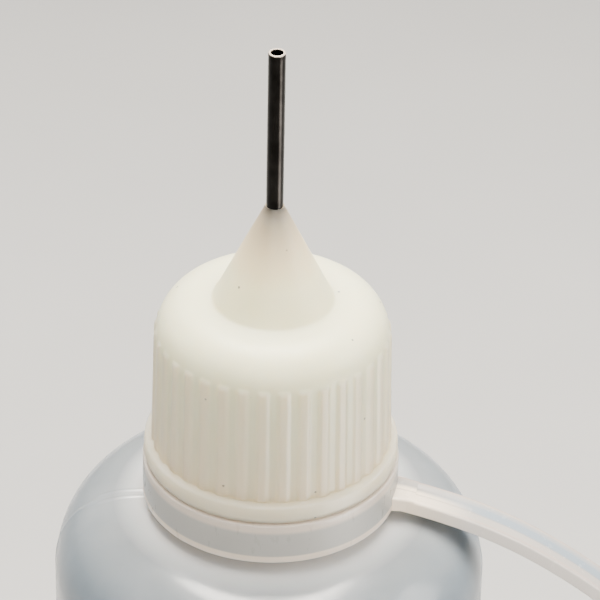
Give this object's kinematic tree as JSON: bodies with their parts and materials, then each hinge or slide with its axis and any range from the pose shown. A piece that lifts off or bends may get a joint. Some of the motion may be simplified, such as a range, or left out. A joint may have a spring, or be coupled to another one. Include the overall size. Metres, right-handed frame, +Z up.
{
  "type": "glue applicator bottle",
  "caption": "Squeeze bottle with a screw-on cap that carries a blunt needle, and a captive ring and strap that hold the needle's cover.",
  "frame": {"origin": "middle of the bottle's flat base, on the surface that it stands on", "axes": "+Z up along the bottle and the needle, +X towards the strap"},
  "size_m": [0.0848, 0.033, 0.0899],
  "materials": {
    "bottle_polythene": "satin",
    "cap_polythene": "satin",
    "strap_polythene": "satin",
    "cover_polythene": "satin",
    "washer_polythene": "matte",
    "needle_steel": "satin"
  },
  "bodies": {
    "bottle": {"bottle": "bottle_polythene"},
    "washer": {"seal_washer": "washer_polythene"},
    "cap": {"needle_cap": "cap_polythene", "needle": "needle_steel"},
    "ring": {"tether_ring": "strap_polythene"},
    "strap_1": {"strap_1": "strap_polythene"},
    "strap_2": {"strap_2": "strap_polythene"},
    "strap_3": {"strap_3": "strap_polythene"},
    "strap_4": {"strap_4": "strap_polythene"},
    "strap_5": {"strap_5": "strap_polythene"},
    "strap_6": {"strap_6": "strap_polythene"},
    "strap_7": {"strap_7": "strap_polythene"},
    "strap_8": {"strap_8": "strap_polythene"},
    "cover": {"needle_cover": "cover_polythene"}
  },
  "joints": [
    {"name": "cap_lift", "type": "slide", "parent": "bottle", "child": "washer", "axis": [0, 0, 1], "range_m": [0, 0.00318]},
    {"name": "cap_turn", "type": "hinge", "parent": "washer", "child": "cap", "pos_m": [0, 0, 0.0625], "axis": [0, 0, 1], "range_deg": [0, 540.01]},
    {"name": "ring_swivel", "type": "hinge", "parent": "bottle", "child": "ring", "pos_m": [0, 0, 0.0525], "axis": [0, 0, 1], "continuous": true},
    {"name": "strap_bend_1", "type": "hinge", "parent": "ring", "child": "strap_1", "pos_m": [0.01126, 0, 0.0524], "axis": [0, -1, 0], "range_deg": [0, 46.7], "stiffness_Nm_per_rad": 0.003},
    {"name": "strap_bend_2", "type": "hinge", "parent": "strap_1", "child": "strap_2", "pos_m": [0.01762, 0, 0.05064], "axis": [0, -1, 0], "range_deg": [0, 35.98]},
    {"name": "strap_bend_3", "type": "hinge", "parent": "strap_2", "child": "strap_3", "pos_m": [0.02346, 0, 0.04758], "axis": [0, -1, 0], "range_deg": [0, 27.11]},
    {"name": "strap_bend_4", "type": "hinge", "parent": "strap_3", "child": "strap_4", "pos_m": [0.02873, 0, 0.0436], "axis": [0, -1, 0], "range_deg": [0, 20.1]},
    {"name": "strap_bend_5", "type": "hinge", "parent": "strap_4", "child": "strap_5", "pos_m": [0.0336, 0, 0.03914], "axis": [0, -1, 0], "range_deg": [0, 14.96]},
    {"name": "strap_bend_6", "type": "hinge", "parent": "strap_5", "child": "strap_6", "pos_m": [0.03841, 0, 0.03462], "axis": [0, -1, 0], "range_deg": [0, 11.7]},
    {"name": "strap_bend_7", "type": "hinge", "parent": "strap_6", "child": "strap_7", "pos_m": [0.04353, 0, 0.03045], "axis": [0, -1, 0], "range_deg": [0, 10.29]},
    {"name": "strap_bend_8", "type": "hinge", "parent": "strap_7", "child": "strap_8", "pos_m": [0.04919, 0, 0.02707], "axis": [0, -1, 0], "range_deg": [0, 10.76]},
    {"name": "strap_bend_9", "type": "hinge", "parent": "strap_8", "child": "cover", "pos_m": [0.05542, 0, 0.02488], "axis": [0, -1, 0], "range_deg": [0, 13.1]}
  ],
  "couplings": [
    {"joint": "cap_turn", "follows": "cap_lift", "rad_per_m": 2963.8},
    {"joint": "strap_bend_2", "follows": "strap_bend_1", "ratio": 0.77},
    {"joint": "strap_bend_3", "follows": "strap_bend_1", "ratio": 0.58},
    {"joint": "strap_bend_4", "follows": "strap_bend_1", "ratio": 0.43},
    {"joint": "strap_bend_5", "follows": "strap_bend_1", "ratio": 0.32},
    {"joint": "strap_bend_6", "follows": "strap_bend_1", "ratio": 0.25},
    {"joint": "strap_bend_7", "follows": "strap_bend_1", "ratio": 0.22},
    {"joint": "strap_bend_8", "follows": "strap_bend_1", "ratio": 0.23},
    {"joint": "strap_bend_9", "follows": "strap_bend_1", "ratio": 0.28}
  ]
}
